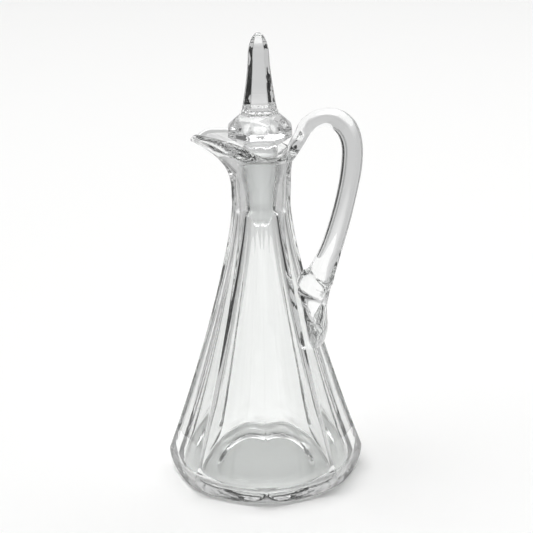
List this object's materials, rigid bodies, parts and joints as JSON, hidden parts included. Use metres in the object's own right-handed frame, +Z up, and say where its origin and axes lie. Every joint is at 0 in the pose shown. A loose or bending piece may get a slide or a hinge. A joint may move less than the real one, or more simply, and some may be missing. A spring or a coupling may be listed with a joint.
{
  "type": "glass oil cruet",
  "caption": "Panelled clear glass oil bottle with a flared foot, drawn pouring lip, looped rod handle and a faceted ground glass stopper that lifts out.",
  "frame": {"origin": "centre of the round standing foot, on the surface the bottle stands on", "axes": "+Z up along the bottle's axis, +X from the axis towards the handle, the pouring lip at -X"},
  "size_m": [0.0827, 0.0776, 0.1902],
  "materials": {
    "body_glass": "fire-polished clear glass, ground inside the neck",
    "handle_glass": "fire-polished clear glass",
    "stopper_glass": "polished clear glass with a fine-ground plug"
  },
  "bodies": {
    "bottle": {"bottle": "body_glass", "handle": "handle_glass"},
    "stopper": {"stopper": "stopper_glass"}
  },
  "joints": [
    {"name": "stopper_lift", "type": "slide", "parent": "bottle", "child": "stopper", "axis": [0, 0, 1], "range_m": [0, 0.06]}
  ]
}
